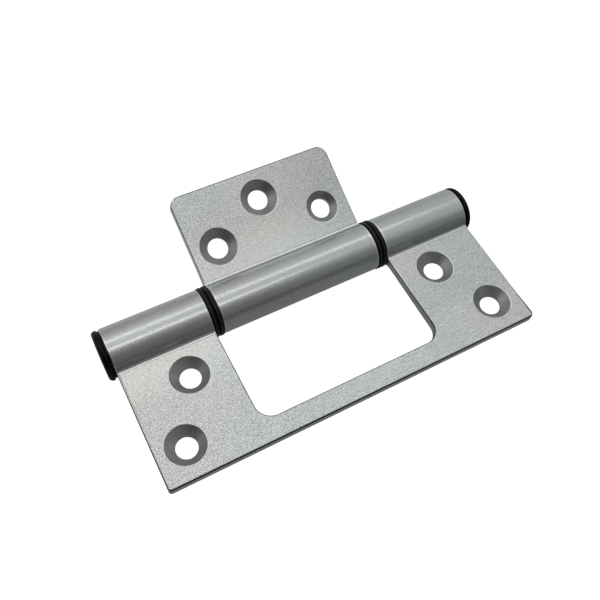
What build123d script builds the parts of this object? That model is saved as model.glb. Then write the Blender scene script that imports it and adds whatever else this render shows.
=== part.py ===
"""Flush door hinge in satin aluminium, lying flat and partly open.

A small leaf with the middle knuckle folds into the window of a larger leaf that
carries the two end knuckles. Both leaves are lengths of one kind of extruded
section, a bored barrel with a flat leaf running out of its middle, so the small
leaf nests inside the thickness of the large one. A steel pin runs through black
flanged bushes, two at each joint, and a black cap closes each end of the barrel.

Millimetres. The origin is on the barrel's axis, midway along it. +X runs along
the barrel, the large leaf lies towards -Y, the small leaf towards +Y, and +Z is
the side that the screw heads sit in. The small leaf stands raised by rest_angle.
"""
import os
from math import cos, radians, sin, tan

from build123d import *

# Leaves and barrel
hinge_length = 125.0        # over the two end knuckles, without the caps
barrel_d = 16.0
bore_d = 11.0               # through all three knuckles
leaf_t = 3.3
small_leaf_length = 55.6    # also the length of the middle knuckle
small_leaf_reach = 37.3     # axis to outer edge
nest_gap = 2.6              # small leaf's outer edge to the strip, when folded in
strip_w = 6.8               # strip of the large leaf in front of the window
rest_angle = 23.0           # degrees that the small leaf is raised from flat

# Roundings
root_r = 1.0                # where a leaf runs into its knuckle, on the screw side
root_back_r = 3.5           # the same on the back
edge_break = 0.3            # chamfer all round both leaves and the knuckle ends
window_corner_r = 5.2
small_corner_r = 3.1
large_corner_r = 1.0

# Countersunk screw holes, through from the +Z side
hole_d = 6.6
sink_d = 12.0
sink_d_narrow = 10.5        # one hole of the small leaf is sunk less
sink_angle = 90.0
outer_hole_from_end = 9.4   # large leaf, outer pair
outer_hole_from_edge = 10.1
inner_hole_from_end = 18.9  # large leaf, inner pair
inner_hole_from_axis = 17.5
pair_hole_from_end = 9.15   # small leaf, pair beside the knuckle
pair_hole_from_axis = 17.8
tip_hole_from_edge = 9.4    # small leaf, single hole at the tip

# Bushes, two back to back at each joint
flange_t = 1.55
flange_d = 16.5             # a little proud of the barrel
flange_rim = 0.35           # chamfer on both rims of a flange
sleeve_length = 12.0
running_gap = 0.1           # between the two flanges of a joint

# Pin and end caps
pin_d = 8.0
pin_clearance = 0.05        # on the radius, inside the bushes
pin_chamfer = 0.6
cap_collar_t = 0.6          # thin collar against the knuckle
cap_collar_d = 15.9
cap_head_t = 2.0
cap_rim_r = 1.1             # outer rim of the head, turned in steps of cap_rim_step
cap_rim_step = 30           # degrees
cap_groove = 0.6            # inner rim of the head, leaves a groove by the collar
plug_length = 6.0
plug_chamfer = 0.5

# Sizes that follow
barrel_r = barrel_d / 2
bore_r = bore_d / 2
half_length = hinge_length / 2
small_half = small_leaf_length / 2
joint_w = 2 * flange_t + running_gap
window_half = small_half + joint_w
window_reach = small_leaf_reach + nest_gap
large_leaf_reach = window_reach + strip_w
pin_length = hinge_length - 2 * plug_length

outer_hole_x = half_length - outer_hole_from_end
outer_hole_y = large_leaf_reach - outer_hole_from_edge
inner_hole_x = half_length - inner_hole_from_end
pair_hole_x = small_half - pair_hole_from_end
tip_hole_y = small_leaf_reach - tip_hole_from_edge

along_barrel = Plane.YZ
rest_turn = Rot(X=rest_angle)


def leaf_section(reach):
    """Section across the barrel, with the leaf running out towards +Y."""
    outline = Circle(barrel_r) + Pos(reach / 2, 0) * Rectangle(reach, leaf_t)
    back, front = outline.vertices().filter_by(lambda v: abs(v.X) < barrel_r).sort_by(Axis.Y)
    outline = fillet(front, root_r)
    back = outline.vertices().sort_by_distance(back)[0]
    return fillet(back, root_back_r) - Circle(bore_r)


def extruded_leaf(reach, length, corner_r):
    """A length of the section, with its two outer corners rounded."""
    leaf = extrude(along_barrel * leaf_section(reach), amount=length / 2, both=True)
    corners = leaf.edges().filter_by(Axis.Z).group_by(Axis.Y)[-1]
    return fillet(corners, corner_r)


def window_cut():
    """The window, which also parts the barrel into its two end knuckles."""
    depth = window_reach + barrel_d
    opening = Pos(0, window_reach - depth / 2) * Rectangle(2 * window_half, depth)
    corners = opening.vertices().group_by(Axis.Y)[-1]
    return extrude(fillet(corners, window_corner_r), amount=barrel_d, both=True)


def flat_at(edge, axis, values):
    """True for an edge that lies in a plane across the axis at one of the values."""
    box = edge.bounding_box()
    low, high = getattr(box.min, axis), getattr(box.max, axis)
    return any(abs(low - v) < 1e-3 and abs(high - v) < 1e-3 for v in values)


def rim_edges(leaf, ends):
    """Edges round the outline, the window and the knuckle ends, but not the bore."""
    faces = (-leaf_t / 2, leaf_t / 2)
    root_line = barrel_r + root_back_r

    def on_end(edge):
        bore = edge.geom_type == GeomType.CIRCLE and abs(edge.radius - bore_r) < 1e-3
        upright = flat_at(edge, "Y", [edge.center().Y])
        return flat_at(edge, "X", ends) and not bore and not upright

    def on_face(edge):
        return flat_at(edge, "Z", faces) and edge.center().Y > root_line

    return leaf.edges().filter_by(lambda edge: on_end(edge) or on_face(edge))


def screw_cut(head_d):
    """Cutter for one countersunk hole, its mouth on the leaf's +Z face."""
    hole_r, head_r = hole_d / 2, head_d / 2
    slope = tan(radians(sink_angle / 2))
    above = leaf_t
    profile = Polyline(
        (0, -leaf_t),
        (hole_r, -leaf_t),
        (hole_r, leaf_t / 2 - (head_r - hole_r) / slope),
        (head_r + above * slope, leaf_t / 2 + above),
        (0, leaf_t / 2 + above),
        close=True,
    )
    return revolve(Plane.XZ * make_face(profile), Axis.Z)


def large_leaf():
    """Large leaf with the window and the two end knuckles, towards -Y."""
    leaf = extruded_leaf(large_leaf_reach, hinge_length, large_corner_r) - window_cut()
    ends = (-half_length, -window_half, window_half, half_length)
    leaf = chamfer(rim_edges(leaf, ends), edge_break)
    for side in (-1, 1):
        leaf -= Pos(side * inner_hole_x, inner_hole_from_axis) * screw_cut(sink_d)
        leaf -= Pos(side * outer_hole_x, outer_hole_y) * screw_cut(sink_d)
    return mirror(leaf, about=Plane.XZ)


def small_leaf():
    """Small leaf with the middle knuckle, raised to its resting angle."""
    leaf = extruded_leaf(small_leaf_reach, small_leaf_length, small_corner_r)
    leaf = chamfer(rim_edges(leaf, (-small_half, small_half)), edge_break)
    leaf -= Pos(-pair_hole_x, pair_hole_from_axis) * screw_cut(sink_d)
    leaf -= Pos(pair_hole_x, pair_hole_from_axis) * screw_cut(sink_d_narrow)
    leaf -= Pos(0, tip_hole_y) * screw_cut(sink_d)
    return rest_turn * leaf


def bush(knuckle_end, inward):
    """Flanged bush in the mouth of a knuckle; inward is +1 or -1 along X."""
    flange = Pos(0, 0, -flange_t / 2) * Cylinder(flange_d / 2, flange_t)
    flange = chamfer(flange.edges().filter_by(GeomType.CIRCLE), flange_rim)
    sleeve = Pos(0, 0, sleeve_length / 2) * Cylinder(bore_r, sleeve_length)
    hole = Cylinder(pin_d / 2 + pin_clearance, 3 * sleeve_length)
    seat = Plane(origin=(knuckle_end, 0, 0), z_dir=(inward, 0, 0))
    return seat * (flange + sleeve - hole)


def end_cap(side):
    """Cap turned about the barrel's axis: plug, collar, groove and rounded head."""
    collar_r = cap_collar_d / 2
    top = cap_collar_t + cap_head_t
    rim_x, rim_z = barrel_r - cap_rim_r, top - cap_rim_r
    rim_angles = [radians(a) for a in range(0, 91, cap_rim_step)]
    rim = [(rim_x + cap_rim_r * cos(a), rim_z + cap_rim_r * sin(a)) for a in rim_angles]
    section = Polyline(
        (0, -plug_length),
        (bore_r - plug_chamfer, -plug_length),
        (bore_r, plug_chamfer - plug_length),
        (bore_r, 0),
        (collar_r, 0),
        (collar_r, cap_collar_t),
        (barrel_r - cap_groove, cap_collar_t),
        (barrel_r, cap_collar_t + cap_groove),
        *rim,
        (0, top),
        close=True,
    )
    seat = Plane(origin=(side * half_length, 0, 0), z_dir=(side, 0, 0))
    return seat * revolve(Plane.XZ * make_face(section), Axis.Z)


def pin():
    """Plain steel pin, held endways between the plugs of the two caps."""
    rod = Rot(Y=90) * Cylinder(pin_d / 2, pin_length)
    return chamfer(rod.edges().filter_by(GeomType.CIRCLE), pin_chamfer)


nodes = {
    "large_leaf": large_leaf(),
    "small_leaf": small_leaf(),
    "pin": pin(),
    "bush_left_outer": bush(-window_half, -1),
    "bush_left_inner": bush(-small_half, 1),
    "bush_right_inner": bush(small_half, -1),
    "bush_right_outer": bush(window_half, 1),
    "cap_left": end_cap(-1),
    "cap_right": end_cap(1),
}

os.makedirs("parts", exist_ok=True)
for name, solid in nodes.items():
    export_step(solid, f"parts/{name}.step")
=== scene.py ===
# %% [markdown]
# A flush door hinge in blasted aluminium, dressed for a studio photograph.
#
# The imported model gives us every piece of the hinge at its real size. This
# script keeps those places and gives the visible pieces their finished surfaces:
# soft-edged extrusions, moulded black plastic and a grained metal finish.

# %% Load the frame and note its size
from math import asin, cos, radians, sin, sqrt

import bmesh
import bpy
import numpy as np
from mathutils import Matrix, Vector


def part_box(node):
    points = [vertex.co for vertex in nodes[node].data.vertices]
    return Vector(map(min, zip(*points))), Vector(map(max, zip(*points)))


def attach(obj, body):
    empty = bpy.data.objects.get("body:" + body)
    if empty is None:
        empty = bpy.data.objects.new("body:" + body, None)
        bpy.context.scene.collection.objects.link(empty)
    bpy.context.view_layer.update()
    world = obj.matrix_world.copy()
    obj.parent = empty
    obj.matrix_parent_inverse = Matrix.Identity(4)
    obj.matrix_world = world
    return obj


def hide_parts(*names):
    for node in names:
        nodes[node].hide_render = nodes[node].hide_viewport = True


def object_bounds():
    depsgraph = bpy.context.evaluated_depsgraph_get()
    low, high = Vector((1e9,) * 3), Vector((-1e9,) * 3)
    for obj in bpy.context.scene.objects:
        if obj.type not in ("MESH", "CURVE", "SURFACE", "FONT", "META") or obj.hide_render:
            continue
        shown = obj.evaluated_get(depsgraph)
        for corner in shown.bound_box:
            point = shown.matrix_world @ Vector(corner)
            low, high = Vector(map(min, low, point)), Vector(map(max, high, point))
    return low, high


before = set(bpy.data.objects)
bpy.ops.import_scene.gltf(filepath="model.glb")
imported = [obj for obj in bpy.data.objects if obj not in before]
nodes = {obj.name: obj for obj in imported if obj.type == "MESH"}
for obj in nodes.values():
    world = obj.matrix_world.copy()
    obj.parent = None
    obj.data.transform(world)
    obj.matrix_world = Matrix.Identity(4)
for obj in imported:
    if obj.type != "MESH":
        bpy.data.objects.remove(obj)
cad_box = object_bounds()
MM = 0.001
print("nodes:", ", ".join(sorted(nodes)))

# %% [markdown]
# Sizes come from the frame wherever it can give them. The large leaf's box is
# the hinge's length and reach, a cap's box is the barrel, and the small leaf's
# box gives the middle knuckle. Only what a box can't tell is written as a value.

# %% Driving sizes, in metres
large_low, large_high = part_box("large_leaf")
small_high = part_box("small_leaf")[1]
cap_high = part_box("cap_right")[1]
half_length = large_high.x
large_reach = -large_low.y
small_half = small_high.x
barrel_r = cap_high.z
cap_end = cap_high.x

rest_angle = radians(23.0)
leaf_t = 3.3 * MM
small_reach = 37.3 * MM
window_half = 31.0 * MM
window_reach = 39.9 * MM
bore_r = 5.5 * MM
root_r = 1.0 * MM
root_back_r = 3.5 * MM
window_corner_r = 5.2 * MM
small_corner_r = 3.1 * MM
large_corner_r = 1.0 * MM
print(f"length {2 * half_length / MM:.1f} mm, reach {large_reach / MM:.1f} mm")

# %% [markdown]
# Most pieces here are either a section carried along a line or a section turned
# about the barrel. Both are grids of points, rows by columns, so one helper can
# put any grid into a mesh: it numbers the points and joins each to its
# neighbours with four-sided faces, wrapping round where the grid is closed.

# %% From a grid of points to a mesh
def grid_faces(rows, columns, wrap_rows, wrap_columns):
    """Quads between neighbouring points: (i, j) joins (i, j+1), (i+1, j+1), (i+1, j)."""
    i = np.arange(rows if wrap_rows else rows - 1)[:, None]
    j = np.arange(columns if wrap_columns else columns - 1)[None, :]
    below, beside = (i + 1) % rows, (j + 1) % columns
    corners = (i * columns + j, i * columns + beside, below * columns + beside, below * columns + j)
    return np.stack(corners, axis=-1).reshape(-1, 4)


def mesh_object(name, points, faces):
    """A linked object at the origin whose mesh holds these points and faces."""
    mesh = bpy.data.meshes.new(name)
    mesh.from_pydata(points.reshape(-1, 3).tolist(), [], [list(map(int, f)) for f in faces])
    mesh.validate()
    piece = bpy.data.objects.new(name, mesh)
    bpy.context.scene.collection.objects.link(piece)
    return piece


def smooth(piece, sharp_angle):
    """Smooth shading, with a crease wherever two faces turn by more than the angle."""
    piece.data.shade_smooth()
    piece.data.set_sharp_from_angle(angle=radians(sharp_angle))

# %% [markdown]
# A turned piece is a profile of (place along the axis, radius) pairs. Each point
# of the profile sweeps a circle round the X axis: y = radius * cos, z = radius *
# sin. The bushes and caps are moulded rather than turned, but they have the same
# round form, so the same formula makes them.

# %% Turn a profile about the barrel's axis
ring_steps = 160
same_point = 0.0001 * MM


def arc(centre, radius, start, end, steps):
    """Points of a circle's arc: centre + radius * (cos, sin), angles in degrees."""
    a = np.radians(np.linspace(start, end, steps))
    return np.stack([centre[0] + radius * np.cos(a), centre[1] + radius * np.sin(a)], axis=1)


def close_poles(piece):
    """Where a profile ends on the axis, its ring of equal points becomes a single one."""
    shape = bmesh.new()
    shape.from_mesh(piece.data)
    bmesh.ops.remove_doubles(shape, verts=shape.verts, dist=same_point)
    shape.to_mesh(piece.data)
    shape.free()


def turned(name, profile, closed=True):
    """Surface of revolution of an (x, radius) profile about the X axis."""
    x, r = np.asarray(profile, float).T
    turn = np.linspace(0, 2 * np.pi, ring_steps, endpoint=False)
    along = np.broadcast_to(x[:, None], (len(x), ring_steps))
    points = np.stack([along, r[:, None] * np.cos(turn), r[:, None] * np.sin(turn)], axis=-1)
    piece = mesh_object(name, points, grid_faces(len(x), ring_steps, closed, True))
    if not closed:
        close_poles(piece)
    return piece


# %% [markdown]
# The leaves start as one closed section: a round knuckle with a flat leaf
# running out of its middle, joined by a small fillet where they meet. The real
# ones are extruded through a die of exactly this outline and then sawn to
# length, so carrying the section along X is the way they are made too.
#
# A fillet's centre lies one fillet radius above the leaf and one fillet radius
# outside the barrel, which fixes it by Pythagoras. The one on the back, where
# nothing has to sit close, is larger.

# %% The die's outline
barrel_steps, root_steps = 144, 12


def root_arc(radius):
    """Fillet between leaf and barrel on the screw side, from the leaf to the barrel."""
    centre_z = leaf_t / 2 + radius
    centre_y = sqrt((barrel_r + radius) ** 2 - centre_z**2)
    lift = np.degrees(asin(centre_z / (barrel_r + radius)))
    return arc((centre_y, centre_z), radius, 270, 180 + lift, root_steps), lift


def leaf_outline(reach):
    """Closed (y, z) outline, anticlockwise, with the leaf towards +Y."""
    front, front_lift = root_arc(root_r)
    back, back_lift = root_arc(root_back_r)
    barrel = arc((0, 0), barrel_r, front_lift, 360 - back_lift, barrel_steps)
    tip = np.array([[reach, -leaf_t / 2], [reach, leaf_t / 2]])
    return np.concatenate([tip, front, barrel[1:-1], (back * [1, -1])[::-1]])


def carried_section(name, reach, half):
    """The outline carried from -half to +half along X, with a round bore through it."""
    outer = leaf_outline(reach)
    turn = np.arctan2(outer[:, 1], outer[:, 0])
    bore = bore_r * np.stack([np.cos(turn), np.sin(turn)], axis=1)
    rings = [(-half, bore), (-half, outer), (half, outer), (half, bore)]
    points = np.stack([np.column_stack([np.full(len(yz), x), yz]) for x, yz in rings])
    return mesh_object(name, points, grid_faces(len(rings), len(outer), True, True))


print("points round the die's outline:", len(leaf_outline(large_reach)))

# %% [markdown]
# The window, the rounded corners and the screw holes are cut from that blank, as
# they are milled and drilled from the real extrusion. A cutter is again a grid,
# closed by one face at each end: a prism between two levels for the window and
# the corners, and three rings for a countersunk hole. Each reaches past the leaf,
# because two faces in one plane confuse a boolean.
#
# Screw holes are listed as they are drilled: place on the leaf and countersink.
# One hole of the small leaf is sunk less than the others.

# %% Screw holes and their cutter
overcut = 2 * MM
hole_r = 3.3 * MM
sink_d, narrow_sink_d = 12.0 * MM, 10.5 * MM
screw_steps = 72
large_screws = [
    (np.array([side * x, y]) * MM, sink_d)
    for side in (-1, 1)
    for x, y in ((43.6, 17.5), (53.1, 36.6))
]
small_screws = [
    (np.array([-18.65, 17.8]) * MM, sink_d),
    (np.array([18.65, 17.8]) * MM, narrow_sink_d),
    (np.array([0.0, 27.9]) * MM, sink_d),
]


def closed_by_ends(levels):
    """Rings of equally many points, one above the other, with a single face at each end."""
    count = len(levels[0])
    last = (len(levels) - 1) * count
    faces = [list(face) for face in grid_faces(len(levels), count, False, True)]
    ends = [list(range(count))[::-1], list(range(last, last + count))]
    return np.concatenate(levels), faces + ends


def screw_cutter(place, head_d):
    """Cutter of a 90 degree countersink over a plain hole, mouth on +Z."""
    half_t, head_r = leaf_t / 2, head_d / 2
    turn = np.linspace(0, 2 * np.pi, screw_steps, endpoint=False)
    ring = np.stack([np.cos(turn), np.sin(turn)], axis=1)
    sizes = (
        (hole_r, -half_t - overcut),
        (hole_r, half_t - (head_r - hole_r)),
        (head_r + overcut, half_t + overcut),
    )
    levels = [np.column_stack([place + r * ring, np.full(screw_steps, z)]) for r, z in sizes]
    return closed_by_ends(levels)


print("screw holes:", len(large_screws), "and", len(small_screws))

# %% Prisms for the corners and the window
corner_steps, window_steps = 14, 20


def prism(outline, low, high):
    """Closed prism: an (x, y) outline between two levels."""
    return closed_by_ends([np.column_stack([outline, np.full(len(outline), z)]) for z in (low, high)])


def corner_outline(reach, half, radius, side):
    """What is left outside a rounded corner of the leaf: a square less a quarter circle."""
    x, y = half - radius, reach - radius
    curve = arc((x, y), radius, 0, 90, corner_steps)
    outside = [(x, reach + overcut), (half + overcut, reach + overcut), (half + overcut, y)]
    outline = np.concatenate([curve, outside])
    outline[:, 0] *= side
    return outline[::-1] if side > 0 else outline


def window_outline():
    """The window with its two round corners, open to the barrel's far side."""
    x, y, r = window_half, window_reach, window_corner_r
    right = arc((x - r, y - r), r, 0, 90, window_steps)
    left = arc((r - x, y - r), r, 90, 180, window_steps)
    far = -barrel_r - overcut
    return np.concatenate([[(x, far)], right, left, [(-x, far)]])

# %% Take the cutters out
def joined(parts):
    """One list of points and faces from several, each numbered after the last."""
    points, faces, start = [], [], 0
    for part_points, part_faces in parts:
        points.append(part_points)
        faces += [[i + start for i in face] for face in part_faces]
        start += len(part_points)
    return np.concatenate(points), faces


def settle(piece):
    """Applies every modifier, so the piece is again a plain mesh."""
    bpy.context.view_layer.update()
    shape = piece.evaluated_get(bpy.context.evaluated_depsgraph_get())
    finished = bpy.data.meshes.new_from_object(shape)
    old, piece.data = piece.data, finished
    piece.modifiers.clear()
    bpy.data.meshes.remove(old)
    finished.name = piece.name


def cut(piece, parts):
    """Takes the cutters out of the piece and keeps the result as its own mesh."""
    cutter = mesh_object(piece.name + "_cutter", *joined(parts))
    boolean = piece.modifiers.new("cut", "BOOLEAN")
    boolean.operation, boolean.solver, boolean.object = "DIFFERENCE", "EXACT", cutter
    settle(piece)
    bpy.data.objects.remove(cutter)

# %% [markdown]
# Blasting softens every sawn edge, and that soft rim is what catches the light
# along the real hinge. A Bevel modifier rounds the rims, and each edge carries
# its own bevel weight: most on the outline of the large leaf, less on the small
# leaf, the window and the knuckle ends, least on the back and at the screw holes,
# and none inside the bore. The upright edges of the corners are round already.

# %% Read a mesh into arrays
def read(collection, name, width):
    """One property of every element of a mesh collection, as rows of an array."""
    values = np.empty(len(collection) * width)
    collection.foreach_get(name, values)
    return values.reshape(-1, width)


def read_index(collection, name):
    """One whole number of every element of a mesh collection."""
    return read(collection, name, 1)[:, 0].astype(int)


def edge_turns(mesh):
    """For each edge: the angle between its two faces, in degrees, and its two ends."""
    normals = read(mesh.polygons, "normal", 3)
    owner = np.repeat(np.arange(len(normals)), read_index(mesh.polygons, "loop_total"))
    by_edge = np.argsort(read_index(mesh.loops, "edge_index"), kind="stable")
    first, second = owner[by_edge].reshape(-1, 2).T
    dots = np.einsum("ij,ij->i", normals[first], normals[second])
    ends = read(mesh.vertices, "co", 3)[read(mesh.edges, "vertices", 2).astype(int)]
    return np.degrees(np.arccos(np.clip(dots, -1, 1))), ends


# %% Round the rims
widest_rim = 0.62 * MM
large_weight, small_weight = 1.0, 0.65
window_weight, knuckle_weight, back_weight, mouth_weight = 0.65, 0.5, 0.25, 0.3
outline_zone = 1.1 * MM
mouth_zone = 0.3 * MM
leaf_from = barrel_r + 1.2 * MM
smallest_turn = 25
bore_margin, upright_share = 1.02, 0.9
rim_segments = 4


def near_screw(points, screws):
    """True for each point within a countersink's mouth or just outside it."""
    near = np.zeros(len(points), bool)
    for place, head_d in screws:
        near |= np.hypot(*(points[:, :2] - place).T) < head_d / 2 + mouth_zone
    return near


def rim_weights(mesh, screws, reach, half, outline_weight):
    """Bevel weight of each edge, by where its middle lies."""
    turns, ends = edge_turns(mesh)
    middle = ends.mean(axis=1)
    from_axis = np.hypot(ends[:, :, 1], ends[:, :, 2])
    on_outline = (np.abs(middle[:, 0]) > half - outline_zone) | (middle[:, 1] > reach - outline_zone)
    on_leaf = middle[:, 1] > leaf_from
    weights = np.where(on_leaf, np.where(on_outline, outline_weight, window_weight), knuckle_weight)
    weights[on_leaf & (middle[:, 2] < 0)] = back_weight
    weights[near_screw(middle, screws)] = mouth_weight
    weights[(turns < smallest_turn) | (from_axis.max(axis=1) < bore_r * bore_margin)] = 0.0
    upright = np.abs(ends[:, 0, 2] - ends[:, 1, 2]) > leaf_t * upright_share
    weights[upright & (from_axis.min(axis=1) > barrel_r + root_back_r)] = 0.0
    return weights


def round_rims(piece, weights):
    """One Bevel modifier for the whole leaf, as wide at each edge as its weight says."""
    layer = piece.data.attributes.new("bevel_weight_edge", "FLOAT", "EDGE")
    layer.data.foreach_set("value", weights)
    piece.data.shade_smooth()
    bevel = piece.modifiers.new("rims", "BEVEL")
    bevel.limit_method, bevel.width, bevel.segments = "WEIGHT", widest_rim, rim_segments
    bevel.use_clamp_overlap = False
    bevel.loop_slide = False
    bevel.harden_normals = True
    print(piece.name, "bevelled edges:", int((weights > 0).sum()))

# %% [markdown]
# Light and shade are painted onto the rims as colour. Round the leaves most rims
# get painted shade, dark on the side that turns away. The knuckles' ends, the
# right wall of the window and one side of each screw hole get a painted
# highlight. The fillet by the knuckle gets a painted highlight line along its
# foot, with painted shade just beyond it on the leaf, and the knuckle just above
# it gets painted shade.
#
# Each face corner gets a tone for that, from -1 (painted shade) to 1 (painted
# highlight), which the material reads as an attribute. Each function below gives
# the points that it speaks for and their tones, and the later ones go over the
# earlier ones. A tone is read off a short table: along the fillet in mm, round
# the knuckle by the angle from the leaf, or round a rim by the angle from the
# face, 0, to the wall, 90.
#
# The leaves are dressed lying flat towards +Y. The large one is turned half
# round afterwards, so its right is at -X here.

# %% Painted shade and highlights on the leaf's own rims
# Painted light round a rim, from -1 (painted shade) to 1 (painted highlight), by its angle from the
# face.
rim_turns = [0, 22.5, 45, 67.5, 90]
near_rim = [0.0, -0.15, -1.0, -1.0, -1.0]
far_rim = [0.1, -0.9, -1.0, -1.0, -1.0]
lit_rim = [0.8, 1.0, 0.3, -1.0, -1.0]
left_end_share = 0.6
rim_margin = 1.01


def rim_angle(points, radius):
    """Angle round a rim, by its depth under the face: arccos(1 - depth / radius)."""
    depth = leaf_t / 2 - np.abs(points[:, 2])
    return np.degrees(np.arccos(np.clip(1 - depth / radius, 0, 1)))


def on_screw_side(points):
    """True for each point of the leaf's screw side, clear of the fillet."""
    return (points[:, 1] > leaf_from) & (points[:, 2] > 0)


def outline_tones(points, reach, half, rim, window):
    """Rims round the leaf: painted shade, darkest on the right and at the back, less so in front and
    on the left.
    """
    band, y = rim * rim_margin, points[:, 1]
    to_right = -points[:, 0] if window else points[:, 0]
    where = on_screw_side(points) & ((np.abs(to_right) > half - band) | (y > reach - band))
    at_back = (y > reach - band) & (not window)
    turn = rim_angle(points, rim)
    near = np.interp(turn, rim_turns, near_rim)
    near = np.where(to_right < band - half, near * left_end_share, near)
    far = (to_right > half - band) | at_back
    return where, np.where(far, np.interp(turn, rim_turns, far_rim), near)


def window_tones(points):
    """Rims of the window: a painted highlight on the wall at its right, which looks left, and painted
    shade elsewhere.
    """
    rim = window_weight * widest_rim
    band = rim * rim_margin
    x, y = points[:, 0], points[:, 1]
    where = on_screw_side(points) & (np.abs(x) < window_half + band) & (y < window_reach + band)
    left_facing = (x < 0) & (y < window_reach - window_corner_r)
    turn = rim_angle(points, rim)
    lit, shaded_rim = np.interp(turn, rim_turns, lit_rim), np.interp(turn, rim_turns, far_rim)
    return where, np.where(left_facing, lit, shaded_rim)

# %% Painted light on the knuckle, its foot and the screw holes
knuckle_margin = 0.01 * MM
# Tables of painted light: a highlight line then shade along the fillet's foot, highlight and shade
# round each screw hole, and shade on the knuckle above its root.
foot_low, foot_high = 0.02 * MM, 0.9 * MM
foot_places = [0.03, 0.08, 0.56, 0.66, 0.78]
foot_line = [0.0, 1.0, 1.0, -0.7, -0.9]
soft_share = 0.3
mouth_reach, mouth_depth = 0.25 * MM, 0.4 * MM
lit_from = [0.8, -0.6]
mouth_places, mouth_line = [-0.5, 0.1, 0.6], [-0.7, 0.0, 0.8]
root_low, root_high = 17, 35
root_places = [root_low, 26, root_high]
large_root, small_root = [-0.5, -0.42, 0.0], [-1.0, -0.8, 0.0]


def knuckle_tones(points):
    """Rims of the knuckle's ends: a painted highlight all round."""
    from_axis = np.hypot(points[:, 1], points[:, 2])
    inner = barrel_r - knuckle_weight * widest_rim
    return (from_axis < barrel_r + knuckle_margin) & (from_axis > inner), np.ones(len(points))


def foot_tones(points, window):
    """The fillet, by its distance from the barrel: a painted highlight line, then a painted shade
    line on the leaf.

    The painted shade line is softer along the right knuckle of the large leaf.
    """
    x, y, z = points.T
    from_axis = np.hypot(y, z)
    where = (z > 0) & (y > 0) & (from_axis > barrel_r + foot_low) & (from_axis < barrel_r + foot_high)
    tones = np.interp((from_axis - barrel_r) / MM, foot_places, foot_line)
    softer = window & (x < 0) & (tones < 0)
    return where, np.where(softer, tones * soft_share, tones)


def mouth_tones(points, place, head_d, window):
    """Rim of a screw hole: a painted highlight on the side that looks to the light, painted shade on
    the other.
    """
    away = (points[:, :2] - place) * (-1 if window else 1)
    distance = np.hypot(*away.T)
    where = (distance < head_d / 2 + mouth_reach) & (leaf_t / 2 - np.abs(points[:, 2]) < mouth_depth)
    towards_light = (away @ lit_from) / distance.clip(0.1 * MM)
    return where, np.interp(towards_light, mouth_places, mouth_line)


def root_tones(points, root_line):
    """Painted shade on the knuckle just above its leaf, by the angle round the axis, in degrees."""
    return np.interp(np.degrees(np.arctan2(points[:, 2], points[:, 1])), root_places, root_line)

# %% Paint the light and shade
round_lean, end_lean, face_tilt = 0.02, 0.98, 0.999


def leaf_tones(points, screws, reach, half, rim, window):
    """All the painted light and shade together, as one number for each point."""
    layers = [outline_tones(points, reach, half, rim, window)]
    if window:
        layers.append(window_tones(points))
    layers += [knuckle_tones(points), foot_tones(points, window)]
    layers += [mouth_tones(points, *screw, window) for screw in screws]
    tones = np.zeros(len(points))
    for where, values in layers:
        tones[where] = values[where]
    return tones


def paint_light_and_shade(piece, screws, reach, half, rim, window):
    """Stores the painted light and shade at face corners: rims and fillets, then the painted shade on
    the knuckle above its root.
    """
    mesh = piece.data
    points, normals = read(mesh.vertices, "co", 3), read(mesh.polygons, "normal", 3)
    middles = read(mesh.polygons, "center", 3)
    corners, totals = read_index(mesh.loops, "vertex_index"), read_index(mesh.polygons, "loop_total")
    tilt, lean = np.abs(normals[:, 2]), np.abs(normals[:, 0])
    on_knuckle = np.hypot(middles[:, 1], middles[:, 2]) < barrel_r
    knuckle_rim = (lean > round_lean) & (lean < end_lean)
    on_rim = np.where(on_knuckle, knuckle_rim, (tilt > round_lean) & (tilt < face_tilt))
    lift = np.degrees(np.arctan2(middles[:, 2], middles[:, 1]))
    above_root = on_knuckle & (lean < round_lean) & (lift > root_low) & (lift < root_high)
    tones = leaf_tones(points, screws, reach, half, rim, window)[corners] * np.repeat(on_rim, totals)
    # Painted shade on the round knuckle just above its root.
    root = root_tones(points, large_root if window else small_root)
    tones += root[corners] * np.repeat(above_root, totals)
    # The painted light and shade is kept as an attribute for the material.
    layer = mesh.attributes.new("edge_tone", "FLOAT", "CORNER")
    layer.data.foreach_set("value", tones)
    print(piece.name, "corners with a tone:", int((tones != 0).sum()))

# %% [markdown]
# Both leaves now follow from the same steps: carry the section, cut it, round its
# rims and paint their light and shade. The small one has no window. Each is then
# turned to its place in its own mesh, so that its object stays at the origin.

# %% The two leaves
def leaf_blank(name, reach, half, corner_r, screws, window, outline_weight):
    """A cut and rounded leaf, lying flat with its leaf towards +Y."""
    piece = carried_section(name, reach, half)
    corners = [corner_outline(reach, half, corner_r, side) for side in (-1, 1)]
    parts = [prism(outline, -leaf_t, leaf_t) for outline in corners]
    parts += [screw_cutter(*screw) for screw in screws]
    if window:
        parts.append(prism(window_outline(), -2 * barrel_r, 2 * barrel_r))
    cut(piece, parts)
    round_rims(piece, rim_weights(piece.data, screws, reach, half, outline_weight))
    settle(piece)
    paint_light_and_shade(piece, screws, reach, half, outline_weight * widest_rim, window)
    return piece


large = leaf_blank(
    "large_leaf_blasted", large_reach, half_length, large_corner_r, large_screws, True, large_weight
)
small = leaf_blank(
    "small_leaf_blasted", small_reach, small_half, small_corner_r, small_screws, False, small_weight
)
large.data.transform(Matrix.Rotation(radians(180), 4, "Z"))
small.data.transform(Matrix.Rotation(rest_angle, 4, "X"))
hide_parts("large_leaf")
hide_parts("small_leaf")
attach(large, "frame_side")
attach(small, "door_side")
for leaf in (large, small):
    print(leaf.name, len(leaf.data.polygons), "faces")

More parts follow.
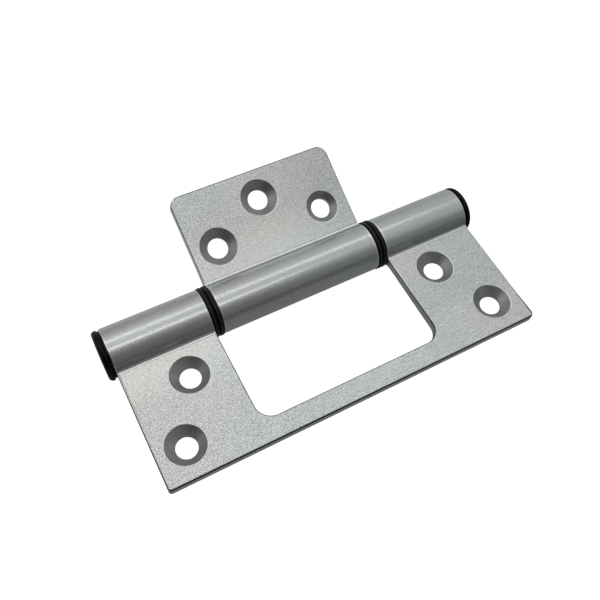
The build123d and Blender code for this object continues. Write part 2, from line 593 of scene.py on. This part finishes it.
# %% [markdown]
# At each joint two black bushes stand back to back. Only their flanges show: low
# bands with soft rims, so a fine groove runs round between them. The sleeve goes
# on into the knuckle, round the pin. Each could be two cylinders with a bevel, but
# one turned profile holds flange, rims and sleeve in a single closed surface.

# %% Bushes
flange_t = 1.55 * MM
flange_r = 8.25 * MM
flange_round = 0.45 * MM
flange_round_steps = 8
sleeve_end = 12.0 * MM
bush_hole_r = 4.05 * MM
crease_angle = 40


def bush_profile():
    """Profile from the knuckle's face: flange on the minus side, sleeve on the plus side."""
    r, soft = flange_r, flange_round
    outer = arc((soft - flange_t, r - soft), soft, 180, 90, flange_round_steps)
    inner = arc((-soft, r - soft), soft, 90, 0, flange_round_steps)
    sleeve = [(0, bore_r), (sleeve_end, bore_r), (sleeve_end, bush_hole_r)]
    return np.concatenate([[(-flange_t, bush_hole_r)], outer, inner, sleeve])


bushes = []
for name, face, inward in (
    ("bush_left_outer", -window_half, -1),
    ("bush_left_inner", -small_half, 1),
    ("bush_right_inner", small_half, -1),
    ("bush_right_outer", window_half, 1),
):
    profile = bush_profile()
    profile[:, 0] = face + inward * profile[:, 0]
    piece = turned(name + "_moulded", profile if inward > 0 else profile[::-1])
    smooth(piece, crease_angle)
    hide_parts(name)
    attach(piece, "frame_side" if "outer" in name else "door_side")
    bushes.append(piece)
print("bushes:", len(bushes))

# %% [markdown]
# A cap closes each end of the barrel. Seen from the side it is a short neck,
# narrower than the barrel, and then a head as wide as the barrel whose outer rim
# is well rounded. The face is very slightly domed, as a moulded cap is, so the
# light fades over it. The plug behind it fills the bore. The profile starts and
# ends on the axis, so the turned surface is closed without any extra face.

# %% End caps
neck_t, neck_r = 0.55 * MM, 7.5 * MM
neck_run_out = 0.05 * MM
head_inner_round, head_outer_round = 0.6 * MM, 1.3 * MM
inner_round_steps, outer_round_steps = 8, 14
plug_end, plug_chamfer = 6.0 * MM, 0.5 * MM
dome, dome_steps = 0.12 * MM, 12


def cap_profile():
    """Profile outwards from the knuckle's end, closed on the axis at both ends.

    The face falls away from its middle as dome * (r / rim radius) squared.
    """
    top = cap_end - half_length
    soft_in, soft_out = head_inner_round, head_outer_round
    rim_r = barrel_r - soft_out
    r = np.linspace(rim_r, 0, dome_steps)[1:]
    return np.concatenate([
        [(-plug_end, 0), (-plug_end, bore_r - plug_chamfer), (plug_chamfer - plug_end, bore_r)],
        [(0, bore_r), (0, neck_r), (neck_t - neck_run_out, neck_r)],
        arc((neck_t + soft_in, barrel_r - soft_in), soft_in, 180, 90, inner_round_steps),
        arc((top - dome - soft_out, rim_r), soft_out, 90, 0, outer_round_steps),
        np.column_stack([top - dome * (r / rim_r) ** 2, r]),
    ])


caps = []
for name, side in (("cap_left", -1), ("cap_right", 1)):
    profile = cap_profile()
    profile[:, 0] = side * (half_length + profile[:, 0])
    piece = turned(name + "_moulded", profile if side > 0 else profile[::-1], closed=False)
    smooth(piece, crease_angle)
    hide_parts(name)
    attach(piece, "frame_side")
    caps.append(piece)
print("caps:", len(caps))

# %% [markdown]
# Shader maths reads best as plain expressions. This small class wraps a socket,
# so that a + b, 1 - a or a * 0.3 each add one Math node. Colours are mixed
# through `blend`, because a Math node would turn them grey.

# %% Sockets as numbers
class Socket:
    """A node's output that takes part in sums, products and differences."""

    def __init__(self, tree, socket):
        self.tree, self.socket = tree, socket

    def node(self, kind, settings=None, **inputs):
        """Adds a node: settings first, then each input by name, or by place as in0, in1."""
        made = self.tree.nodes.new(kind)
        for key, value in (settings or {}).items():
            setattr(made, key, value)
        for key, value in inputs.items():
            by_place = key.startswith("in") and key[2:].isdigit()
            target = made.inputs[int(key[2:]) if by_place else key.replace("_", " ")]
            if isinstance(value, Socket):
                self.tree.links.new(value.socket, target)
            else:
                target.default_value = value
        return made

    def math(self, operation, other=0.0, swapped=False):
        """This value and another through one Math node; swapped puts the other first."""
        first, second = (other, self) if swapped else (self, other)
        made = self.node("ShaderNodeMath", {"operation": operation}, in0=first, in1=second)
        return Socket(self.tree, made.outputs[0])

    def __add__(self, other):
        return self.math("ADD", other)

    def __sub__(self, other):
        return self.math("SUBTRACT", other)

    def __rsub__(self, other):
        return self.math("SUBTRACT", other, swapped=True)

    def __mul__(self, other):
        return self.math("MULTIPLY", other)

    __radd__, __rmul__ = __add__, __mul__

    def ramp(self, low, high, start=0.0, end=1.0):
        """Smooth step from start to end as this value goes from low to high."""
        made = self.node(
            "ShaderNodeMapRange", {"interpolation_type": "SMOOTHSTEP"},
            Value=self, From_Min=low, From_Max=high, To_Min=start, To_Max=end,
        )
        return Socket(self.tree, made.outputs["Result"])

    def stops(self, places, values):
        """Grey read off a ramp with these values at these places, straight between them."""
        made = self.node("ShaderNodeValToRGB", Fac=self)
        elements = made.color_ramp.elements
        for _ in places[2:]:
            elements.new(1.0)
        for element, place, value in zip(elements, places, values):
            element.position, element.color = place, (value, value, value, 1.0)
        return Socket(self.tree, made.outputs["Color"])

    def blend(self, first, second):
        """Colour that goes from first to second as this value goes from 0 to 1."""
        made = self.node("ShaderNodeMix", {"data_type": "RGBA"}, Factor=self)
        for index, colour in ((6, first), (7, second)):
            if isinstance(colour, Socket):
                self.tree.links.new(colour.socket, made.inputs[index])
            else:
                made.inputs[index].default_value = (*colour, 1.0)
        return Socket(self.tree, made.outputs[2])

# %% [markdown]
# Every finish starts the same way, so a second class makes the material, finds
# its Principled shader and offers noise and bump on the object's own coordinates.
# A number that is the same all over goes on the shader's own socket, and only
# what changes over the surface is fed to it from nodes.

# %% A finish
class Finish:
    """A new material with its Principled shader, and the object's own coordinates."""

    def __init__(self, name, **constants):
        self.material = bpy.data.materials.new(name)
        self.material.use_nodes = True
        self.tree = self.material.node_tree
        self.shader = self.tree.nodes["Principled BSDF"]
        for key, value in constants.items():
            self.shader.inputs[key.replace("_", " ")].default_value = value
        coordinates = self.tree.nodes.new("ShaderNodeTexCoord")
        self.place = Socket(self.tree, coordinates.outputs["Object"])

    def noise(self, per_metre, detail=2.0, roughness=0.5, stretch=(1, 1, 1), turn=(0.5, 0.8, 0.3)):
        """Noise with so many features in a metre; turned, so its grid lies along no face."""
        moved = self.place.node("ShaderNodeMapping", Vector=self.place, Scale=stretch, Rotation=turn)
        source = Socket(self.tree, moved.outputs["Vector"])
        made = source.node(
            "ShaderNodeTexNoise", {"noise_dimensions": "3D"},
            Vector=source, Scale=per_metre, Detail=detail, Roughness=roughness,
        )
        return Socket(self.tree, made.outputs["Fac"])

    def attribute(self, name):
        """A number stored on the mesh, such as the painted light and shade of its rims."""
        made = self.place.node("ShaderNodeAttribute", {"attribute_name": name})
        return Socket(self.tree, made.outputs["Fac"])

    def axes(self):
        """X, Y and Z of the object's own coordinates."""
        made = self.place.node("ShaderNodeSeparateXYZ", Vector=self.place)
        return [Socket(self.tree, made.outputs[axis]) for axis in "XYZ"]

    def feed(self, name, value):
        """Links a value to one of the shader's sockets."""
        self.tree.links.new(value.socket, self.shader.inputs[name])

    def bump(self, height, distance, strength=1.0):
        """Shades the surface as if it rose by the distance wherever the height is 1."""
        made = height.node("ShaderNodeBump", Height=height, Distance=distance, Strength=strength)
        self.feed("Normal", Socket(self.tree, made.outputs["Normal"]))

# %% [markdown]
# The leaves are blasted and then clear anodised. On the flat leaf that leaves a
# pearly grain about a third of a millimetre across, with darker specks. Fine die
# lines run along the extrusion and show more towards the right. The knuckles were
# polished before, so the grain is faint there and a clear coat over it gives
# their crisp bright lines. Narrow bands round their ends get a painted highlight.
#
# `flat` is 0 on the round knuckle and 1 on the leaf. Lightness runs from a dark
# to a pale shade of the metal, and both drift slowly between green, lilac and
# cream, as anodising does, with the cream near the knuckle. The leaf gets painted
# light beside the knuckle, fading towards the right, and painted shade towards
# the right, away from the large leaf's front strip. Last comes the painted light
# and shade of the rims.

# %% Colours of the aluminium
knuckle_edge = (8.75 * MM, 8.95 * MM)
joint_band = (0.60 * MM, 0.72 * MM)
cap_band = (0.52 * MM, 0.64 * MM)
dark_green, pale_green = (0.286, 0.314, 0.310), (0.905, 0.970, 0.960)
dark_lilac, pale_lilac = (0.306, 0.309, 0.321), (0.945, 0.953, 0.978)
dark_cream, pale_cream = (0.313, 0.312, 0.296), (0.965, 0.960, 0.920)
# Colours of the painted shade and the painted highlight on rims and knuckle ends.
painted_shade_metal, painted_highlight_metal = (0.05, 0.05, 0.047), (0.97, 0.98, 0.98)


def metal_lightness(finish, grain, x, y, from_axis, flat):
    """How pale the metal is: grain, specks, die lines and slow random changes, over painted light
    beside the knuckle and painted shade towards the right.
    """
    speck = finish.noise(3500.0, detail=0.0, turn=(1.1, 0.2, 0.9)).ramp(0.60, 0.74)
    die_line = finish.noise(3400.0, detail=1.0, stretch=(0.10, 1, 1), turn=(0, 0, 0)) - 0.5
    cloud = finish.noise(60.0, detail=1.0)
    lined = x.ramp(-30 * MM, 5 * MM)
    grained = (0.32 + 0.68 * flat) * (1 - lined * 0.35)
    mottle = (grain * 0.46 - speck * 0.48) * grained
    mottle = mottle + die_line * (0.14 + lined * 0.36) * (0.25 + 0.75 * flat)
    # Painted light beside the knuckle, fading to the right, and painted shade towards the right.
    rightward = x.ramp(-10 * MM, 45 * MM)
    painted_light_by_knuckle = from_axis.ramp(9 * MM, 25 * MM, 0.30, 0.0) * (1 - rightward * 0.7)
    painted_shade_right = rightward * y.ramp(-38 * MM, -26 * MM) * (0.10 + y.ramp(15 * MM, 25 * MM) * 0.07)
    return mottle + (cloud - 0.5) * 0.14 + 0.49 + (0.17 + painted_light_by_knuckle - painted_shade_right) * flat


def metal_colour(finish, lightness, x, from_axis, flat):
    """The lightness as a colour, by two slow drifts: green to lilac, and either to cream."""
    lilac = finish.noise(30.0, detail=0.5).ramp(0.40, 0.60) * flat
    cream = finish.noise(38.0, detail=0.0, turn=(0.9, 0.4, 1.7)).ramp(0.30, 0.62)
    cream = cream * from_axis.ramp(15 * MM, 32 * MM, 1.0, 0.0)
    cream = cream * x.ramp(5 * MM, 25 * MM, 1.0, 0.0) * (0.4 + 0.6 * flat)
    dark = cream.blend(lilac.blend(dark_green, dark_lilac), dark_cream)
    pale = cream.blend(lilac.blend(pale_green, pale_lilac), pale_cream)
    return lightness.blend(dark, pale)


def painted_end_highlights(x, flat):
    """Painted highlight bands round the knuckles' ends: strong by the right joint, faint by the caps.
    """
    along = x.math("ABSOLUTE")
    joint_x, joint_half = (window_half + small_half) / 2, (window_half - small_half) / 2
    from_joint = (along - joint_x).math("ABSOLUTE") - joint_half
    by_joint = from_joint.ramp(*joint_band, 1.0, 0.0)
    by_joint = by_joint * x.ramp(-25 * MM, 25 * MM, 0.30, 0.95) * x.ramp(28 * MM, 31 * MM, 1.0, 0.55)
    by_cap = (half_length - along).ramp(*cap_band, 0.35, 0.0)
    return (by_joint + by_cap) * (1 - flat)

# %% Blasted aluminium
def blasted_aluminium():
    """Grained metal on the leaf and polished metal under a clear coat on the knuckles, with painted
    light and shade on rims and knuckle ends.
    """
    finish = Finish("blasted_aluminium", Metallic=1.0, Coat_Roughness=0.13)
    grain = finish.noise(3700.0, detail=1.0, roughness=0.6).ramp(0.30, 0.70, -1.0, 1.0)
    x, y, z = finish.axes()
    from_axis = (y * y + z * z).math("SQRT")
    flat = from_axis.ramp(*knuckle_edge)
    lightness = metal_lightness(finish, grain, x, y, from_axis, flat)
    metal = metal_colour(finish, lightness, x, from_axis, flat)
    # Painted light: the rims' tone mixes in painted shade and painted highlight, and the knuckles'
    # ends get painted highlight bands.
    tone = finish.attribute("edge_tone")
    painted_shade_mix = (0 - tone).ramp(0.0, 1.0).blend(metal, painted_shade_metal)
    bright = (tone + painted_end_highlights(x, flat)).ramp(0.0, 1.0)
    finish.feed("Base Color", bright.blend(painted_shade_mix, painted_highlight_metal))
    finish.feed("Coat Weight", 0.9 * (1 - flat))
    finish.feed("Roughness", 0.30 + 0.12 * flat + grain * 0.03 * flat)
    finish.bump(grain * (0.04 + 0.96 * flat), 0.02 * MM, 0.5)
    return finish.material


blasted = blasted_aluminium()
print(blasted.name, "nodes:", len(blasted.node_tree.nodes))

# %% [markdown]
# A countersink is cut after blasting, so its cone is smoother and darker than the
# leaf, with only a faint grain. The leaf's material could find the seven mouths by
# their distance, but a second material on the faces inside them is plainer.

# %% Machined countersinks
def machined_aluminium():
    """Bare cut metal, a little uneven in lightness and gloss."""
    finish = Finish("machined_aluminium", Metallic=1.0)
    grain = finish.noise(1500.0, detail=2.0)
    shade = finish.noise(300.0, detail=1.0).ramp(0.3, 0.7)
    finish.feed("Base Color", shade.blend((0.42, 0.44, 0.432), (0.49, 0.51, 0.502)))
    finish.feed("Roughness", 0.47 + (grain - 0.5) * 0.1)
    finish.bump(grain, 0.02 * MM, 0.3)
    return finish.material


machined = machined_aluminium()
print(machined.name, "nodes:", len(machined.node_tree.nodes))

# %% [markdown]
# The plastic is a black, slightly glossy nylon. A faint moulded grain breaks up
# its highlight, and its roughness drifts a little from place to place. The crest
# of each flange, further from the axis than the knuckles, gets a painted grey
# highlight, and its rims stay black, so the two flanges of a joint read as two
# bands. One ramp over the distance from the axis tells the crest from the rest.

# %% Black nylon
flange_crest = (8.225 * MM, 8.248 * MM)


def black_nylon():
    """Moulded black plastic, with a painted grey highlight on the crests of the flanges."""
    finish = Finish("black_nylon", Specular_IOR_Level=0.18)
    grain = finish.noise(2600.0, detail=2.0)
    drift = finish.noise(180.0, detail=1.0)
    x, y, z = finish.axes()
    # Painted highlight: the flange crests are lighter grey.
    crest_highlight = (y * y + z * z).math("SQRT").ramp(*flange_crest)
    patch = drift.ramp(0.3, 0.7)
    black = patch.blend((0.0006, 0.0006, 0.0008), (0.0014, 0.0015, 0.0018))
    highlight_grey = patch.blend((0.014, 0.015, 0.018), (0.024, 0.025, 0.029))
    finish.feed("Base Color", crest_highlight.blend(black, highlight_grey))
    finish.feed("Roughness", 0.40 + (drift - 0.5) * 0.15)
    finish.bump(grain, 0.02 * MM, 0.25)
    return finish.material


nylon = black_nylon()
print(nylon.name, "nodes:", len(nylon.node_tree.nodes))

# %% [markdown]
# The pin is a length of drawn steel rod. It hardly shows, deep inside the barrel,
# but it keeps its solid's mesh and gets a finish as every piece does. Drawing
# leaves fine lines along the rod, so its noise is stretched along X.

# %% Drawn steel
def drawn_steel():
    """Bright steel with fine lines along X."""
    finish = Finish("drawn_steel", Metallic=1.0)
    lines = finish.noise(2400.0, detail=2.0, stretch=(0.02, 1, 1), turn=(0, 0, 0))
    finish.feed("Base Color", lines.ramp(0.3, 0.7).blend((0.45, 0.45, 0.44), (0.60, 0.60, 0.59)))
    finish.feed("Roughness", 0.25 + lines * 0.15)
    finish.bump(lines, 0.01 * MM, 0.3)
    return finish.material


steel = drawn_steel()
print(steel.name, "nodes:", len(steel.node_tree.nodes))

# %% [markdown]
# Now each piece gets its finish. A leaf has two material slots, blasted and
# machined, and each of its faces says which one it uses. To tell the countersinks'
# faces, their middles are brought back to the lying leaf and compared with the
# list of screw holes.

# %% Give each piece its finish
mouth_inset, face_inset = 0.08 * MM, 0.02 * MM


def countersink_faces(piece, screws, to_leaf):
    """True for each face whose middle lies inside a countersink, between the leaf's faces."""
    flat = read(piece.data.polygons, "center", 3) @ np.array(to_leaf.to_3x3()).T
    inside = np.zeros(len(flat), bool)
    for place, head_d in screws:
        inside |= np.hypot(*(flat[:, :2] - place).T) < head_d / 2 - mouth_inset
    return inside & (np.abs(flat[:, 2]) < leaf_t / 2 - face_inset)


def dress(piece, *materials):
    """Gives a piece its material slots, in this order."""
    piece.data.materials.clear()
    for material in materials:
        piece.data.materials.append(material)


for piece, screws, to_leaf in (
    (large, large_screws, Matrix.Rotation(radians(180), 4, "Z")),
    (small, small_screws, Matrix.Rotation(-rest_angle, 4, "X")),
):
    dress(piece, blasted, machined)
    inside = countersink_faces(piece, screws, to_leaf)
    piece.data.polygons.foreach_set("material_index", inside.astype(np.int32))
    print(piece.name, "countersink faces:", int(inside.sum()))
for piece in bushes + caps:
    dress(piece, nylon)
dress(nodes["pin"], steel)

# %% [markdown]
# The hinge lies in a white studio. The floor is white to the camera, and to
# reflections where the glowing sheet of painted shade doesn't cover it, through
# Light Path. It still takes a soft shadow, because a part of its own pale colour
# is left in the mix.

# %% Floor
floor_size, floor_gap = 4.0, 0.2 * MM
floor_pale = (0.86, 0.86, 0.86, 1)
seen_strength, seen_share = 1.3, 0.8
floor_z = cad_box[0].z - floor_gap
floor_corners = np.array([[-1, -1], [1, -1], [1, 1], [-1, 1]]) * floor_size / 2


def level_square(name, corners, z):
    """A flat four-cornered sheet at one height."""
    return mesh_object(name, np.column_stack([corners, np.full(4, z)]), [[0, 1, 2, 3]])


floor = level_square("floor", floor_corners, floor_z)
floor_finish = Finish("floor_white", Roughness=1.0, Specular_IOR_Level=0.0, Base_Color=floor_pale)
tree = floor_finish.tree
path = tree.nodes.new("ShaderNodeLightPath")
seen = Socket(tree, path.outputs["Is Camera Ray"])
for ray in ("Is Glossy Ray", "Is Transmission Ray"):
    seen = seen.math("MAXIMUM", Socket(tree, path.outputs[ray]))
glow = seen.node("ShaderNodeEmission", Color=(1, 1, 1, 1), Strength=seen_strength)
mixed = seen.node("ShaderNodeMixShader", in0=seen * seen_share)
tree.links.new(floor_finish.shader.outputs[0], mixed.inputs[1])
tree.links.new(glow.outputs[0], mixed.inputs[2])
tree.links.new(mixed.outputs[0], tree.nodes["Material Output"].inputs["Surface"])
dress(floor, floor_finish.material)
print(f"floor at {floor_z / MM:.2f} mm")

# %% [markdown]
# A glowing sheet just above the floor puts painted shade into reflections, so
# that the near side of the metal gets dark edges. The sheet is seen only in
# reflections. It glows dark grey in front of the barrel and mid grey behind it,
# like a shaded table.

# %% Glowing sheet of painted shade
shade_sheet_share = 0.95
shade_glow_front, shade_glow_behind = (0.190, 0.193, 0.188), (0.43, 0.44, 0.435)
card = level_square("grey_card", floor_corners * shade_sheet_share, floor_z + floor_gap / 2)
card.visible_camera = False
card.visible_diffuse = False
card.visible_shadow = False
shade_sheet_finish = Finish(
    "card_grey", Roughness=1.0, Specular_IOR_Level=0.0, Base_Color=(0, 0, 0, 1), Emission_Strength=1.0
)
# Painted shade in reflections: dark grey in front of the barrel, mid grey behind it.
behind = shade_sheet_finish.axes()[1].ramp(0.0, 12 * MM)
shade_sheet_finish.feed("Emission Color", behind.blend(shade_glow_front, shade_glow_behind))
dress(card, shade_sheet_finish.material)
print(f"card {floor_size * shade_sheet_share:.1f} m wide")

# %% [markdown]
# The world stands for the rest of the studio. Shiny metal shows its surroundings,
# so they matter more than the lamps: bright above and behind, dark on the
# photographer's side. The world is drawn as three strips of light, overhead, to
# the right and to the left. Each is a ramp over the elevation in the YZ plane, 0 at
# the far horizon, 90 overhead and 180 behind the camera. The left one also fades
# towards the horizon, which gives the left rims their line.
#
# elevation = arctan2(up, ahead)
# level = overhead * (1 - r - l) + rightward * r + leftward * l, where r and l say
# how far a direction points to the right and to the left
#
# A round barrel mirrors this whole sweep across its width, so its dark and light
# bands are the ramp laid out in the open.

# %% World
world = bpy.data.worlds.new("studio")
bpy.context.scene.world = world
world.use_nodes = True
sky = world.node_tree
background = sky.nodes["Background"]
direction = Socket(sky, sky.nodes.new("ShaderNodeTexCoord").outputs["Generated"])
split = direction.node("ShaderNodeSeparateXYZ", Vector=direction)
side, ahead, up = (Socket(sky, split.outputs[axis]) for axis in "XYZ")
elevation = up.math("ARCTAN2", ahead) * (1 / np.pi)
places = [degrees / 180 for degrees in (0, 20, 40, 55, 65, 75, 90, 105, 120, 140, 160, 180)]
overhead = elevation.stops(
    places, (0.33, 0.38, 0.50, 0.66, 0.72, 0.76, 0.62, 0.40, 0.28, 0.16, 0.16, 0.02)
)
rightward = elevation.stops(
    places, (0.46, 0.45, 0.58, 0.50, 0.38, 0.64, 0.52, 0.52, 0.52, 0.24, 0.25, 0.03)
)
leftward = elevation.stops(
    places, (0.10, 0.30, 0.62, 0.92, 0.94, 0.60, 0.18, 0.04, 0.03, 0.03, 0.03, 0.03)
)
leftward = leftward * up.ramp(0.05, 0.50, 0.15, 1.0)
to_right, to_left = side.ramp(0.05, 0.60), (0 - side).ramp(0.05, 0.60)
level = overhead * (1 - to_right - to_left) + rightward * to_right + leftward * to_left
seen_sky = Socket(sky, sky.nodes.new("ShaderNodeLightPath").outputs["Is Camera Ray"])
sky.links.new(level.math("MAXIMUM", seen_sky).socket, background.inputs["Strength"])
background.inputs["Color"].default_value = (1, 1, 1, 1)
print("stops round the sky:", len(places))

# %% [markdown]
# Two long tube lamps overhead draw the pair of bright lines along the barrel.
# A lamp shows in the round metal where it mirrors the camera's line of sight,
# so each is placed by the angle at which that reflection leaves the barrel.

# %% Tube lamps
lamp_distance = 0.7


def tube_lamp(name, elevation, x, length, width, turn, power):
    """A long area lamp at an elevation in the YZ plane, turned off the barrel's line."""
    data = bpy.data.lights.new(name, "AREA")
    data.shape, data.size, data.size_y, data.energy = "RECTANGLE", length, width, power
    lamp = bpy.data.objects.new(name, data)
    bpy.context.scene.collection.objects.link(lamp)
    a = radians(elevation)
    place = Vector((x, lamp_distance * cos(a), lamp_distance * sin(a)))
    aim = Matrix.Rotation(a - radians(90), 4, "X") @ Matrix.Rotation(radians(turn), 4, "Z")
    lamp.matrix_world = Matrix.Translation(place) @ aim
    print(name, f"at {elevation} degrees")


tube_lamp("tube_back", 69, 0.08, 0.70, 0.05, -8, 0.21)
tube_lamp("tube_front", 102, -0.09, 0.62, 0.045, -10, 0.30)

# %% [markdown]
# The camera stands where the photograph was taken: left of the hinge, in front
# and well above it. Its place, aim and lens come from a fit to the outlines and
# holes of the photographed hinge, so both pictures can be laid over each other.
# Its roll is real too, because the camera was held slightly turned.

# %% Camera
camera_place = Vector((-67.1, -102.6, 195.9)) * MM
camera_aim = Vector((-2.0, -8.5, 0.0)) * MM
camera_roll = radians(7.69)
camera_data = bpy.data.cameras.new("camera")
camera_data.sensor_width, camera_data.lens = 36.0, 42.86
camera_data.clip_start = 1 * MM
camera = bpy.data.objects.new("camera", camera_data)
bpy.context.scene.collection.objects.link(camera)
look = (camera_aim - camera_place).to_track_quat("-Z", "Y").to_matrix().to_4x4()
camera.matrix_world = Matrix.Translation(camera_place) @ look @ Matrix.Rotation(camera_roll, 4, "Z")
bpy.context.scene.camera = camera
bpy.context.scene.view_settings.view_transform = "Standard"
print(f"camera {(camera_aim - camera_place).length / MM:.0f} mm from its aim")
